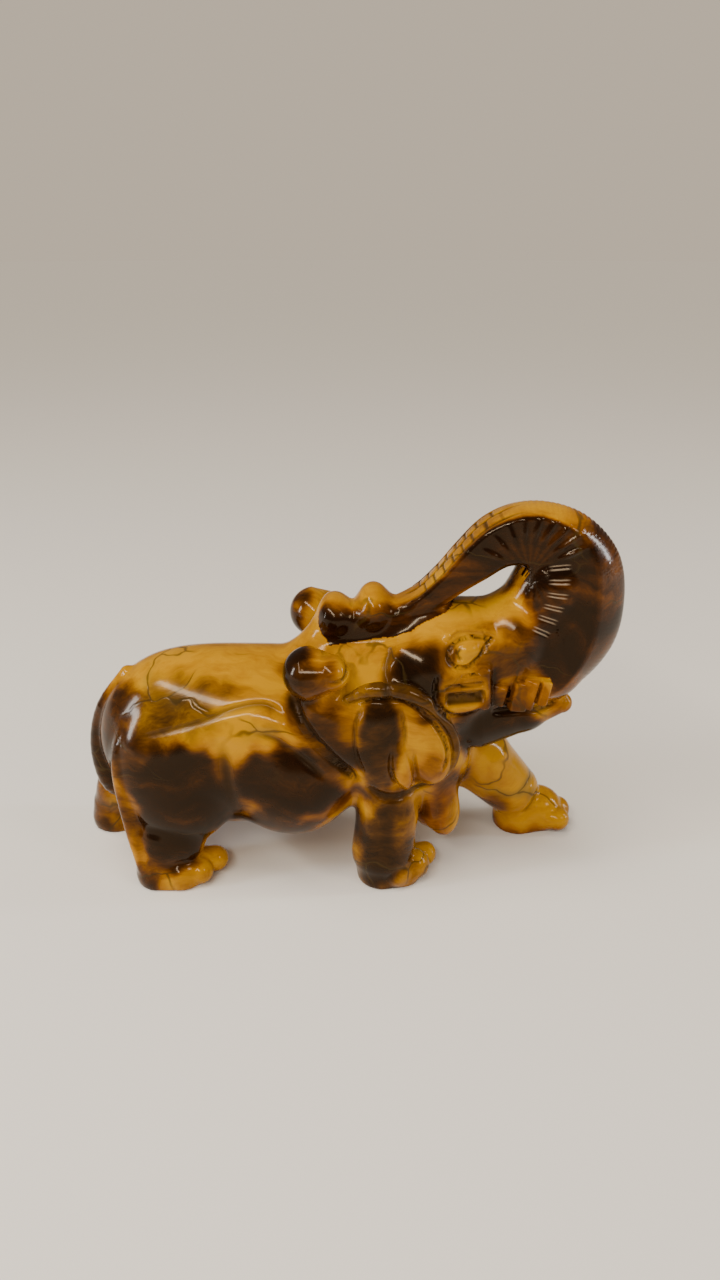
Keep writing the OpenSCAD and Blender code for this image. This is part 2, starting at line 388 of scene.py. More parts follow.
def front_left(c):
    c.region("front_left_leg")
    c.add(limb((17, 5.5, 23, 7), (26.5, 7.4, 15.6, 6.5), (33.6, 8.0, 8.0, 5.3)), 2)
    c.region("front_left_foot")
    c.add(egg((38.9, 8.2, 3.3), (5.1, 4.4, 4.7)), 0.8)
    foot(c, (35.2, 8.2), ((42.6, 5.4, 2.6, 2.4), (43.2, 8.8, 2.7, 2.5), (41.2, 11.6, 2.6, 2.4)))


def foot(c, heel, toes):
    """Heel at (x, y), instep, and toes (x, y, z, radius), all cut flat by the ground."""
    x, y = heel
    tx, ty = toes[1][0], toes[1][1]
    c.add(limb((x, y, 1.6, 4.9), ((x + tx) / 2, (y + ty) / 2, 1.8, 4.2)), 0.8)
    for toe in toes:
        root = (x + (toe[0] - x) * 0.55, y + (toe[1] - y) * 0.55, 2.6, 2.6)
        c.add(limb(root, toe), 0.5)


# rolled rim, widest over the top and thin down the front
EAR_RIM = ((1.6, 11.2, 37.6, 0.6), (5.0, 12.0, 39.6, 1.2), (10.2, 12.2, 39.7, 1.4), (15.4, 11.9, 36.9, 1.1),
           (18.9, 11.3, 32.2, 0.8), (20.2, 10.7, 27.6, 0.7), (19.1, 10.0, 23.4, 0.7), (16.2, 9.8, 20.6, 0.6))


# the ear's plate and the folds that swell out of it: centre, radii, lean, blend
EAR_FOLDS = (
    ((7.4, 7.6, 29.4), (12.0, 4.2, 10.4), -8, 1.6),
    ((8.6, 8.6, 31.8), (10.4, 3.9, 8.4), -12, 1.6),
    ((-0.8, 9.9, 31.6), (5.2, 3.5, 8.6), 28, 1.2),
    ((7.0, 10.2, 29.4), (4.6, 3.9, 10.2), -3, 1.6),
    ((14.4, 9.8, 29.4), (4.9, 3.5, 9.2), 16, 1.4),
    ((10.6, 11.6, 26.2), (2.0, 2.7, 6.0), 12, 0.5))


def ears(c):
    c.region("right_ear")
    for centre, radii, lean, blend in EAR_FOLDS:
        c.pair(egg(centre, radii, lean), blend)
    c.pair(cord(*EAR_RIM), 0.25)


def ear_curls(c):
    c.region("right_ear_curl")
    c.pair(limb((-3, 7, 36, 3.2), (-3, 9, 40, 3.2)), 1.5)
    c.add(limb((-4.6, -10.3, 42.0, 4.6), (-1.0, -11.5, 42.6, 3.1)), 0.6)
    c.add(limb((-4.6, 10.3, 44.8, 4.6), (-1.0, 11.5, 45.0, 3.1)), 0.6)


def head(c):
    c.region("head")
    c.add(egg((19, 0, 41.3), (10.6, 8.9, 9.4)), 3.5)
    c.pair(egg((13.6, 5.2, 40.4), (6.2, 4.9, 6.2)), 2.0)
    c.pair(egg((21.2, 4.8, 38.0), (5.4, 4.6, 6.2)), 1.2)
    c.pair(egg((20.6, 3.6, 33.4), (5.0, 4.6, 5.6)), 1.6)
    c.pair(block((21.4, 8.0, 37.9), (4.5, 1.7, 4.1), lean=4, turn=-8, edge=1.1), 0.4)   # cheek
    # bridge that runs from the forehead up into the trunk and closes the front of the loop
    c.add(cord((21, 0, 43.2, 7), (27.5, 0, 45.9, 6.0), (32.4, 0, 49.2, 5.9), (35.6, 0, 54.0, 6.2)), 3.0)
    c.add(limb((24, 0, 36.5, 7.4), (37, 0, 38.2, 5.6)), 1.5)
    c.pair(egg((29.6, 3.8, 44.2), (5.2, 4.2, 6.8), lean=-14), 2.2)


def lower_jaw(c):
    c.region("lower_jaw")
    c.add(limb((25, 0, 29.8, 6.9), (33, 0, 30.6, 4.7), (40.0, 0, 31.2, 1.9)), 1.2)


def tusks(c):
    """Short worn tusk on each side, cut across into four narrow facets."""
    c.region("right_tusk")
    for x, z, half_x, half_z, turn in ((28.0, 36.4, 1.3, 1.9, 22), (30.7, 36.1, 1.5, 2.7, -12),
                                       (33.2, 36.6, 1.3, 2.8, 24), (34.9, 36.8, 0.9, 2.3, -8)):
        c.pair(block((x, 5.8, z), (half_x, 2.3, half_z), lean=-11, turn=turn, edge=0.4), 0.15)


def eyes(c):
    c.region("right_eye")
    c.pair(egg((21.3, 7.2, 44.5), (2.7, 1.5, 1.9), lean=14), 0.2)


def trunk_knobs(c):
    """The two swellings of the lying tip."""
    c.region("trunk_tip")
    c.add(egg((6.0, 0, 50.2), (3.0, 4.6, 3.9)), 1.4)
    c.add(egg((-0.6, 0, 48.6), (2.5, 4.5, 3.5)), 1.4)


def stone(p, carved=True, whole=False):
    """Distance in millimetres from points p to the surface of the figurine, or all the clay's facts."""
    c = Clay(p)
    for build in (torso, tail, hind_right, hind_left, front_right, front_left, ears, ear_curls, head,
                  lower_jaw):
        build(c)
    add_trunk(c, carved)
    trunk_knobs(c)
    tusks(c)
    if carved:
        for carve in (carve_ears, carve_body, carve_face, carve_trunk):
            carve(c)
    eyes(c)
    c.d = smooth_max(c.d, -p[:, 2], 0.3)
    return c if whole else c.d


def carve_ears(c):
    """Creases between the folds of the ear; these and all other cuts are XZ curves on the flanks."""
    c.line([(4.2, 36.8), (2.9, 33.2), (3.0, 28.4), (4.6, 23.6)], 0.4, 0.35, beyond=9)
    c.line([(10.4, 37.2), (11.2, 32.6), (11.2, 28.8)], 0.4, 0.35, beyond=9, taper=2.5)
    c.line([(9.4, 30.4), (8.8, 26.4), (9.6, 22.8), (12.0, 20.6)], 0.4, 0.3, beyond=9, taper=2.5)
    c.line([(12.8, 29.4), (13.0, 26.0), (13.6, 22.6)], 0.4, 0.3, beyond=9, taper=2.5)
    c.line([(4.4, 21.4), (8.0, 19.4), (12.4, 19.2), (16.4, 19.8)], 0.7, 0.6, RIGHT, beyond=7)
    # groove inside the rim
    c.line([(3.4, 36.9), (6.2, 38.1), (10.2, 37.9), (14.4, 35.3), (17.4, 31.4), (18.6, 27.4), (17.8, 24.0)],
           0.32, 0.6, beyond=9)
    # loop at the front end of the ear's upper curl
    c.line([(-3.0, 45.6), (-0.4, 46.0), (1.4, 44.6), (1.0, 42.6), (-1.6, 42.2)], 0.35, 0.5, beyond=9)
    # deep valley from the curl down between belly and ear
    c.line([(-8.6, 37.6), (-7.0, 35.2), (-4.4, 31.2), (-0.4, 26.2), (3.4, 21.6)], 0.9, 1.1, taper=2.5)


def carve_body(c):
    """Edges of the haunch and of the belly's shelf, pleats of the chest, and an ankle."""
    # upper edge of haunch and belly
    c.line([(-34, 30.2), (-29, 31.6), (-23, 33.2), (-17.4, 35.2), (-12.4, 35.6), (-8.6, 33.8)],
           0.6, 0.34, taper=3)
    # lower edge of the belly's shelf
    c.line([(-15.0, 31.6), (-11.0, 30.4), (-7.5, 28.2), (-3.8, 24.8), (-1.4, 21.6)], 0.7, 0.34, taper=3)
    # crease between haunch and belly
    c.line([(-19.8, 31.0), (-19.3, 27), (-18.9, 21), (-18.6, 15.4)], 1.2, 0.5, RIGHT, taper=6)
    c.line([(-21.2, 31.0), (-20.9, 27), (-20.6, 21), (-21.0, 15.4)], 1.2, 0.5, LEFT, taper=6)
    # pleats of the chest, and the ankle of the far front leg
    for x in (15.4, 17.8, 20.4):
        c.line([(x - 0.8, 18), (x, 13), (x - 1.0, 7.5)], 0.8, 0.22, beyond=1.5, taper=4)
    c.line([(38.6, 9.4), (37.0, 6.6), (35.2, 4.4)], 0.6, 0.3, LEFT, beyond=1)


def carve_face(c):
    """Eye, cheek and mouth."""
    # outline of the eye with its sharp front corner, the iris, the lid and the brow
    c.line([(25.6, 46.6), (22.4, 47.0), (19.8, 46.5), (18.3, 44.6), (19.3, 42.7), (22.2, 42.7), (25.6, 46.6)],
           0.32, 0.7, taper=0)
    c.line([(20.6, 45.9), (19.9, 44.6), (20.7, 43.4)], 0.28, 0.5, taper=0.6)
    c.line([(17.6, 46.6), (19.8, 48.3), (23.6, 48.2), (26.4, 47.4)], 0.45, -0.5)
    # cuts across the cheek, and the groove around it
    c.line([(17.8, 39.1), (24.6, 39.5)], 0.34, 1.1, taper=0.5)
    c.line([(17.9, 36.8), (25.0, 37.1)], 0.85, 2.0, taper=0.7)
    c.line([(18.8, 37.3), (24.4, 37.7)], 0.24, -0.7, taper=0.8)
    c.line([(20.4, 41.0), (24.0, 41.4)], 0.26, 0.6, taper=0.5)
    c.line([(16.6, 41.6), (16.2, 39.0), (17.0, 35.6), (20.6, 33.4), (24.6, 34.6)], 0.40, 0.7)
    c.line([(9.4, 45.4), (8.0, 41.8), (8.6, 38.2)], 0.6, 0.4)
    # line between the lips
    c.line([(26.4, 32.6), (31, 32.2), (36, 31.9), (39.0, 32.6)], 0.5, 0.6, beyond=0)


def carve_trunk(c):
    """Folds that fan out from the loop, short folds near the neck, and scratches on the rising part."""
    for i in range(FOLDS):
        a = math.radians(FOLD_FIRST - FOLD_PITCH * i)
        ends = [(FOLD_X + r * math.cos(a - 0.03 * (r - 4)), FOLD_Z + r * math.sin(a)) for r in FOLD_REACH]
        c.line(ends, 0.45, -0.2, beyond=3.5, taper=2.6)
    for x, z, reach in ((16.0, 54.0, 2.4), (17.5, 54.8, 2.8), (19.2, 56.2, 3.0), (14.4, 52.6, 1.6)):
        c.line([(x, z - 1.4), (x - 0.28 * reach, z + 0.6 * reach)], 0.4, -0.3, beyond=4.7, taper=0.9)
    for i in range(SCRATCH_PAIRS):
        a = math.radians(SCRATCH_FIRST - SCRATCH_PITCH * i)
        ends = [(SCRATCH_X + r * math.cos(a), SCRATCH_Z + r * math.sin(a)) for r in SCRATCH_REACH]
        c.line(ends, 0.5, 0.16, beyond=3.5, taper=0.8, pale=True)


# ---------- surface ----------

GRID_LOW, GRID_HIGH = (-52.0, -17.0, -1.5), (52.5, 17.0, 71.0)
FINE_STEP, QUICK_STEP = 0.5, 0.8


def surface_net(low, high, step):
    """Quads over the zero level of the stone field, sampled on a grid."""
    axes = [np.arange(low[i], high[i] + step, step) for i in range(3)]
    shape = tuple(len(a) for a in axes)
    grid = np.stack(np.meshgrid(*axes, indexing="ij"), -1).reshape(-1, 3)
    field = stone(grid, carved=False).reshape(shape)
    inside = field < 0
    corners = [(i, j, k) for i in (0, 1) for j in (0, 1) for k in (0, 1)]
    cells = tuple(n - 1 for n in shape)

    def corner(a, c):
        return a[c[0]:c[0] + cells[0], c[1]:c[1] + cells[1], c[2]:c[2] + cells[2]]

    count = sum(corner(inside, c).astype(np.int8) for c in corners)
    active = np.argwhere((count > 0) & (count < 8))
    index = np.full(cells, -1, np.int64)
    index[tuple(active.T)] = np.arange(len(active))
    total, hits = np.zeros((len(active), 3)), np.zeros(len(active))
    for a in corners:
        for axis in range(3):
            if a[axis]:
                continue
            b = tuple(1 if i == axis else a[i] for i in range(3))
            fa = field[tuple((active + a).T)]
            fb = field[tuple((active + b).T)]
            crossed = (fa < 0) != (fb < 0)
            t = np.where(crossed, fa / np.where(crossed, fa - fb, 1), 0)
            place = np.array(a, float) + np.eye(3)[axis] * t[:, None]
            total[crossed] += place[crossed]
            hits[crossed] += 1
    points = np.array(low) + (active + total / hits[:, None]) * step
    quads = []
    for axis in range(3):
        u, v = (axis + 1) % 3, (axis + 2) % 3
        a = [slice(0, n) for n in shape]
        b = [slice(0, n) for n in shape]
        a[axis], b[axis] = slice(0, shape[axis] - 1), slice(1, shape[axis])
        starts = inside[tuple(a)]
        flips = np.argwhere(starts != inside[tuple(b)])
        flips = flips[(flips[:, u] > 0) & (flips[:, v] > 0)]
        outward = starts[tuple(flips.T)]
        du, dv = np.eye(3, dtype=int)[u], np.eye(3, dtype=int)[v]
        ring = np.stack([index[tuple((flips - o).T)] for o in (du + dv, dv, 0 * du, du)], 1)
        quads.append(np.where(outward[:, None], ring, ring[:, ::-1]))
    return points, np.vstack(quads)


def sides_of(quads):
    """Every quad's four sides as sorted corner pairs."""
    return np.sort(np.stack([quads, np.roll(quads, -1, 1)], -1).reshape(-1, 2), 1)


def subdivide(points, quads):
    """Every quad becomes four."""
    unique, which = np.unique(sides_of(quads), axis=0, return_inverse=True)
    which = which.reshape(-1, 4)
    n = len(points)
    middles = points[unique].mean(1)
    centres = points[quads].mean(1)
    e = which + n
    m = np.arange(len(quads)) + n + len(unique)
    parts = [np.stack([quads[:, i], e[:, i], m, e[:, i - 1]], 1) for i in range(4)]
    return np.vstack([points, middles, centres]), np.vstack(parts)


def slope_of(p, carved=True, reach=0.04):
    """Field value and its gradient."""
    here = stone(p, carved)
    steps = [(stone(p + reach * axis, carved) - here) / reach for axis in np.eye(3)]
    return here, np.stack(steps, 1)


def settle(points, rounds, carved=True, flattest=0.2, longest=0.4):
    """Moves points along the gradient onto the surface, in moves of at most the longest length.

    A squared slope below flattest counts as flattest, so that no point is thrown far off.
    """
    for _ in range(rounds):
        value, g = slope_of(points, carved)
        strength = np.maximum((g * g).sum(1), flattest)
        move = (value / strength)[:, None] * g
        length = np.linalg.norm(move, axis=1)
        move *= np.minimum(1, longest / np.maximum(length, 1e-9))[:, None]
        points = points - move
    return points


def relax(points, quads, rounds, amount=0.5):
    """Evens out the spacing of a mesh's points."""
    edges = np.unique(sides_of(quads), axis=0)
    for _ in range(rounds):
        total, count = np.zeros_like(points), np.zeros(len(points))
        for a, b in (edges.T, edges.T[::-1]):
            np.add.at(total, a, points[b])
            np.add.at(count, a, 1)
        points = points + amount * (total / count[:, None] - points)
    return points


def carved_surface():
    """Points, quads and the field's normals of the whole carved stone."""
    points, quads = surface_net(GRID_LOW, GRID_HIGH, FINE_STEP)
    points = settle(relax(points, quads, 2), 2, carved=False)
    points, quads = subdivide(points, quads)
    points = settle(points, 3)
    _, g = slope_of(points)
    normals = g / np.linalg.norm(g, axis=1)[:, None]
    return points, quads, normals


# ---------- parting the surface into its regions ----------

def neighbours(quads):
    """Pairs of faces that share a side."""
    sides = sides_of(quads)
    order = np.lexsort((sides[:, 1], sides[:, 0]))
    same = (sides[order][1:] == sides[order][:-1]).all(1)
    first, second = order[:-1][same] // 4, order[1:][same] // 4
    return first, second


def face_regions(owner, quads, rounds=12, own_weight=0.6):
    """Region of each face: its corners' commonest, evened out with its neighbours' over some rounds."""
    count = len(REGIONS)
    votes = np.zeros((len(quads), count))
    for i in range(4):
        votes[np.arange(len(quads)), owner[quads[:, i]]] += 1
    first, second = neighbours(quads)
    for _ in range(rounds):
        total = own_weight * votes
        np.add.at(total, first, votes[second])
        np.add.at(total, second, votes[first])
        votes = total / total.sum(1, keepdims=True)
    label = votes.argmax(1)
    return absorb_islands(label, first, second)


def absorb_islands(label, first, second, small=0.25):
    """A small patch, cut off from the main part of its region, joins the region beside it."""
    for _ in range(4):
        island = np.arange(len(label))
        while True:
            same = label[first] == label[second]
            low = np.minimum(island[first], island[second])
            before = island.copy()
            np.minimum.at(island, first[same], low[same])
            np.minimum.at(island, second[same], low[same])
            island = island[island]
            if (island == before).all():
                break
        sizes = np.bincount(island, minlength=len(label))
        biggest = np.zeros(len(REGIONS), int)
        np.maximum.at(biggest, label, sizes[island])
        stray = sizes[island] < small * biggest[label]
        if not stray.any():
            break
        for a, b in ((first, second), (second, first)):
            edge = stray[a] & ~stray[b]
            joined = dict(zip(island[a[edge]], label[b[edge]]))
            for key, value in joined.items():
                label[(island == key) & stray] = value
            stray = stray & ~np.isin(island, list(joined))
    return label


def rim_loops(quads):
    """Closed loops of corners around the open border of a patch, in the patch's own direction."""
    starts, stops = quads.reshape(-1), np.roll(quads, -1, 1).reshape(-1)
    pairs, which = np.unique(np.sort(np.column_stack([starts, stops]), 1), axis=0, return_inverse=True)
    net = np.bincount(which.reshape(-1), np.where(starts < stops, 1, -1)).astype(int)
    onward = {}
    for (a, b), surplus in zip(pairs[net != 0].tolist(), net[net != 0].tolist()):
        start, stop = (a, b) if surplus > 0 else (b, a)
        onward.setdefault(start, []).extend([stop] * abs(surplus))
    loops = []
    while onward:
        first = next(iter(onward))
        loop, here = [], first
        while True:
            loop.append(here)
            after = onward[here].pop()
            if not onward[here]:
                del onward[here]
            here = after
            if here == first:
                break
        loops.append(loop)
    return loops


def part_surface(points, quads, normals, label, region):
    """One region's closed mesh: its patch of the surface, and a fan of triangles over each open border."""
    patch = quads[label == region]
    used, local = np.unique(patch, return_inverse=True)
    patch = local.reshape(-1, 4)
    corners, lean = points[used], normals[used]
    faces, tops = patch.tolist(), []
    for loop in rim_loops(patch):
        centre = len(corners) + len(tops)
        tops.append(corners[loop].mean(0))
        faces += [[b, a, centre] for a, b in zip(loop, loop[1:] + loop[:1])]
    corners = np.vstack([corners, *[top[None] for top in tops]])
    return corners, faces, lean, used, len(patch)


def add_object(name, data):
    thing = bpy.data.objects.new(name, data)
    bpy.context.scene.collection.objects.link(thing)
    return thing


def make_piece(name, corners, faces, lean, outer_count):
    """Mesh object whose outer faces take the field's normals and whose inner caps stay flat."""
    mesh = bpy.data.meshes.new(name)
    mesh.from_pydata((corners * MM).tolist(), [], faces)
    mesh.polygons.foreach_set("use_smooth", np.ones(len(faces), bool))
    flat = np.zeros(len(faces) * 3)
    mesh.polygons.foreach_get("normal", flat)
    flat = flat.reshape(-1, 3)
    outer = lean[np.array(faces[:outer_count]).reshape(-1)]
    caps = np.repeat(flat[outer_count:], 3, axis=0)
    mesh.normals_split_custom_set(np.vstack([outer, caps]).tolist())
    return add_object(name, mesh)


def paint(piece, used, extra, tones, raw):
    """Stores the stone's tones on the corners; the caps take the tone of dark stone."""
    colour = np.vstack([tones[used], np.zeros((extra, 3))])
    colour = np.column_stack([colour, np.ones(len(colour))])
    layer = piece.data.attributes.new("tone", "FLOAT_COLOR", "POINT")
    layer.data.foreach_set("color", colour.ravel())
    layer = piece.data.attributes.new("raw", "FLOAT", "POINT")
    layer.data.foreach_set("value", np.concatenate([raw[used], np.zeros(extra)]))


# ---------- colour zones of the stone ----------

# centre (x, distance from the middle plane, z), radii, lean, softness, warmth (0 near black, 1 gold), and
# hue (from -1 olive to 1 red)
ZONES = (
    ((-31, 9, 34.2), (12, 7, 4), 6, 3, 0.5, -0.8),           # rump and flank above the haunch
    ((-39, 8, 26.5), (6, 9, 11.5), 0, 3, 0.25, 0.3),         # back of the rump
    ((-43, 0, 24), (5, 3.4, 14), 0, 1.5, 0.22, 0.3),         # tail
    ((-27.6, 13, 19.4), (9.6, 8, 11.4), 6, 2.5, 0.07, 0.4),  # haunch
    ((-31, 12, 8.4), (5.6, 6, 4.6), 0, 1.6, 0.15, 0.3),      # leg below the haunch
    ((-37.4, 12, 14), (1.5, 6, 12), 6, 1.2, 0.52, 0.2),      # strip down the back of the leg
    ((-8.6, 13, 22), (10.4, 8, 7.6), -32, 2.5, 0.09, 0.5),   # belly
    ((-12.5, 8, 13), (9, 9, 4.6), 0, 2, 0.16, 0.3),          # underside of the belly
    ((-3, 10, 17), (9, 6, 1.5), 26, 1.5, 0.4, 0.5),          # lower edge of the belly
    ((-7.8, 12, 42.6), (3.6, 6, 7), 0, 2.5, 0.1, 0.3),       # dark end of the ear's curl
    ((-2.4, 14, 42.6), (4.2, 4, 3.6), 0, 2, 0.32, 0.3),      # middle of the curl
    ((-1.4, 13, 32), (4.1, 5, 8), 26, 3, 0.28, 0.3),         # back fold of the ear
    ((7, 13, 29.6), (3.6, 5, 9.6), 0, 1, 0.27, -0.2),        # middle fold
    ((15, 13, 24.8), (4, 4, 4.2), 20, 2, 0.54, 0.4),         # front fold, low
    ((8, 13, 20.6), (5, 5, 2.2), 0, 1.5, 0.44, 0.1),         # bottom of the ear
    ((7.6, 11, 9.5), (5.8, 6, 9.5), 0, 2.6, 0.2, -0.4),      # front leg
    ((27.6, 8, 8), (3.4, 7, 7), -34, 2, 0.5, 0.3),           # painted shadow on the back of the far front leg
    ((38, 9, 0.6), (9, 8, 1.8), 0, 1.4, 0.6, 0.7),           # sole of the far front foot
    ((19, 3, 18), (5, 7, 2.6), 0, 2, 0.36, 0.3),             # below the chin
    ((17.5, 4, 12), (3.6, 6, 6), 0, 2, 0.6, 0.8),            # chest between the legs
    ((-34.8, 13, 2.6), (4.4, 6, 3.2), 0, 1.6, 0.32, 0.4),    # hind heel
    ((-46, 9, 5), (6, 7, 9), 0, 2, 0.38, 0.2),               # far hind foot, darkened as painted shade
    ((14.4, 10, 40.6), (5.2, 5, 6), 0, 2.4, 0.26, 0.2),      # temple
    ((29.6, 8, 43.4), (5.2, 5, 6), -14, 3, 0.42, 0.2),       # bulge at the base of the trunk
    ((33.2, 0, 56.4), (3.5, 8, 4.8), 0, 1.2, 0.14, 0.3),     # front end of the trunk's loop: the trunk side's dark brown, and painted shade inside the loop
    ((27.4, 5, 28.6), (8, 8, 5), 10, 2, 0.02, 0.3),          # lower jaw
    ((24.4, 9, 33), (3.4, 4, 3), 0, 1.6, 0.28, 0.4),         # below the cheek
    ((20.9, 11, 38.4), (4.4, 3.4, 4.2), 0, 0.8, 0.84, 0.1),  # cheek
    ((31.6, 9, 36.4), (5, 3.6, 3.6), 0, 0.8, 0.53, 0.5),     # tusk
    ((26.4, 7.4, 37), (0.9, 3, 5), 0, 1, 0.18, 0.5),         # painted shade between cheek and tusk
    ((40.4, 0, 31.6), (3.6, 4, 2.4), 0, 1.2, 0.72, 0.5),     # lip
    ((21.6, 9, 44.4), (2.2, 3, 1.6), 14, 0.6, 0.96, 0),      # eye
    ((18.6, 9, 44.4), (1.2, 3, 1.9), 0, 0.6, 0.44, 0),       # back corner of the eye
)

# tones of the stone outside the zones, and of the ear's rim: warmth and hue
PLAIN_TONE, RIM_TONE = (0.9, 0.05), (0.46, -0.7)
# depths of the cuts, in mm: where the painted shade starts, how much deeper it is full, and where a scratch
# is quite raw
CUT_SHADE_FROM, CUT_SHADE_OVER, RAW_AT = 0.06, 0.4, 0.25


def zone_weight(folded, centre, radii, lean, soft):
    _, _, distance = egg(centre, radii, lean)
    w = np.clip(0.5 - distance(folded) / (2 * soft), 0, 1)
    return w * w * (3 - 2 * w)


def tint(tone, warmth, hue, weight):
    """Moves a tone's warmth and hue towards these ones, as far as the weight says."""
    tone[0] += (warmth - tone[0]) * weight
    tone[1] += (hue - tone[1]) * weight


def stone_tones(c):
    """Warmth, hue and painted shade of the cuts at every surface point, and how far the point is scratched
    raw.
    """
    folded = c.folded
    tone = [np.full(len(folded), value) for value in PLAIN_TONE]
    wavy = folded + 1.1 * np.sin(0.62 * folded[:, [2, 0, 1]] + 0.4)
    wavy = wavy + 0.6 * np.sin(1.45 * folded[:, [1, 2, 0]])
    for centre, radii, lean, soft, warmth, hue in ZONES:
        tint(tone, warmth, hue, zone_weight(wavy if soft > 1 else folded, centre, radii, lean, soft))
    _, _, to_rim = cord(*EAR_RIM)
    near_rim = np.flatnonzero(folded[:, 1] > 9)
    rim = np.zeros(len(folded))
    rim[near_rim] = np.clip(1.2 - to_rim(folded[near_rim]) / 0.5, 0, 1)
    tint(tone, *RIM_TONE, rim)
    tint(tone, *trunk_tones(c))
    # painted shade: the deeper a cut, the darker its colour
    cut_shade = np.clip((c.shaded_cut - CUT_SHADE_FROM) / CUT_SHADE_OVER, 0, 1)
    return np.column_stack([*tone, cut_shade]), np.clip(c.pale_cut / RAW_AT, 0, 1)


def trunk_tones(c):
    """Warmth and hue of the trunk, and how far each point belongs to it.

    The side faces are dark red-brown, with painted highlights along the crests of their folds, and the outer
    face turns from brown to gold over the arch.
    """
    p = c.p
    t, r, _, inner, outer, _, half = trunk_frame(p)
    stretches = [REGIONS.index(name) for name in TRUNK_REGIONS]
    trunk = np.isin(c.owner, stretches).astype(float)
    on_head = (c.owner == REGIONS.index("head")) & (t < RISE_END + 6)
    trunk[on_head] = np.clip((inner + r + 2.5) / 3.5, 0, 1)[on_head]
    lying = np.clip((t - ARCH_END) / 6, 0, 1)
    edge = 0.5 + 2.5 * lying
    side = np.clip((outer - 0.2 + 1.2 * lying - r) / edge, 0, 1)
    flank = np.clip((np.abs(p[:, 1]) - half + 2.2 + 1.2 * lying) / 1.2, 0, 1)
    # the loop's inner face also takes the dark side tone: the side's dark stone carried round, with painted
    # shade under the arch
    side *= np.maximum(flank, np.clip(-0.5 - r / 2, 0, 1))
    turn = np.degrees(np.arctan2(p[:, 2] - FOLD_Z, p[:, 0] - FOLD_X))
    # painted highlight: the side faces are lighter along the crests of the carved folds
    fold_crest_highlight = (0.5 + 0.5 * np.cos(np.radians(turn - FOLD_FIRST) * 360 / FOLD_PITCH)) * (1 - lying)
    arch = np.clip((t - RISE_END + 1) / 4, 0, 1)
    orange = bump(t, 7.5, 2.6) + 0.5 * bump(t, 13, 1.6)      # two patches low on the outer face
    outer_face = 0.26 + 0.60 * arch + 0.26 * orange
    side_face = 0.10 + 0.12 * fold_crest_highlight + 0.04 * lying
    warmth = outer_face * (1 - side) + side_face * side
    start = np.clip((t - 3) / 3, 0, 1)                       # its very root keeps the head's tones
    bridge = zone_weight(np.abs(p), (30.0, 6, 49.4), (3.2, 6, 2.6), -40, 2.2)
    warmth = warmth + (0.80 - warmth) * bridge
    return warmth, 0.6 - 0.45 * arch * (1 - side), trunk * start


# ---------- material ----------

def node(tree, kind, settings=None, **inputs):
    """Adds a node; its inputs go by name, or by number as i0, i1, and take a value or a socket."""
    n = tree.nodes.new(kind)
    for key, value in (settings or {}).items():
        setattr(n, key, value)
    for key, value in inputs.items():
        numbered = key[0] == "i" and key[1:].isdigit()
        socket = n.inputs[int(key[1:]) if numbered else key]
        if isinstance(value, bpy.types.NodeSocket):
            tree.links.new(value, socket)
        else:
            socket.default_value = value
    return n


def maths(tree, operation, a, b=0.0, c=0.0, clamp=False):
    settings = {"operation": operation, "use_clamp": clamp}
    return node(tree, "ShaderNodeMath", settings, i0=a, i1=b, i2=c).outputs[0]


def vector_maths(tree, operation, vector, **inputs):
    return node(tree, "ShaderNodeVectorMath", {"operation": operation}, i0=vector, **inputs).outputs[0]


def stretched(tree, vector, turn, scale):
    """The place vector, turned and stretched."""
    return node(tree, "ShaderNodeMapping", Vector=vector, Rotation=turn, Scale=scale).outputs[0]


def mix(tree, factor, a, b, blend="MIX"):
    """Colour between a and b; the mix node's colours are its inputs 6 and 7, and its output 2."""
    settings = {"data_type": "RGBA", "blend_type": blend}
    return node(tree, "ShaderNodeMix", settings, i0=factor, i6=a, i7=b).outputs[2]


def ramp(tree, factor, stops):
    n = node(tree, "ShaderNodeValToRGB", Fac=factor)
    ends = n.color_ramp.elements
    while len(ends) < len(stops):
        ends.new(0.5)
    for element, (place, colour) in zip(ends, stops):
        element.position = place
        element.color = (*colour, 1)
    return n.outputs["Color"]


def threshold(tree, value, low, high):
    """0 below low, 1 above high, smooth between (high may be below low, to turn it round)."""
    ends = {"From Min": low, "From Max": high}
    smooth = {"interpolation_type": "SMOOTHSTEP"}
    return node(tree, "ShaderNodeMapRange", smooth, Value=value, **ends).outputs["Result"]


def noise(tree, vector, scale, detail, roughness=0.5):
    return node(tree, "ShaderNodeTexNoise", Vector=vector, Scale=scale, Detail=detail, Roughness=roughness)


STONE_COLOURS = (
    (0.00, (0.007, 0.0024, 0.0006)),
    (0.16, (0.014, 0.0044, 0.0006)),
    (0.32, (0.040, 0.0125, 0.0010)),
    (0.48, (0.104, 0.0345, 0.0012)),
    (0.64, (0.205, 0.076, 0.001)),
    (0.82, (0.335, 0.140, 0.001)),
    (1.00, (0.430, 0.198, 0.0015)))
VEIN_COLOUR, OLIVE_COLOUR = (0.035, 0.02, 0.005, 1), (0.10, 0.075, 0.022, 1)
CUT_SHADE_COLOUR, RAW_COLOUR = (0.016, 0.007, 0.002, 1), (0.62, 0.46, 0.30, 1)
RED_TINT, OLIVE_TINT = (1.0, 0.66, 0.75, 1), (0.80, 1.0, 2.4, 1)
POLISH_TINT = (1.0, 0.74, 0.46, 1)


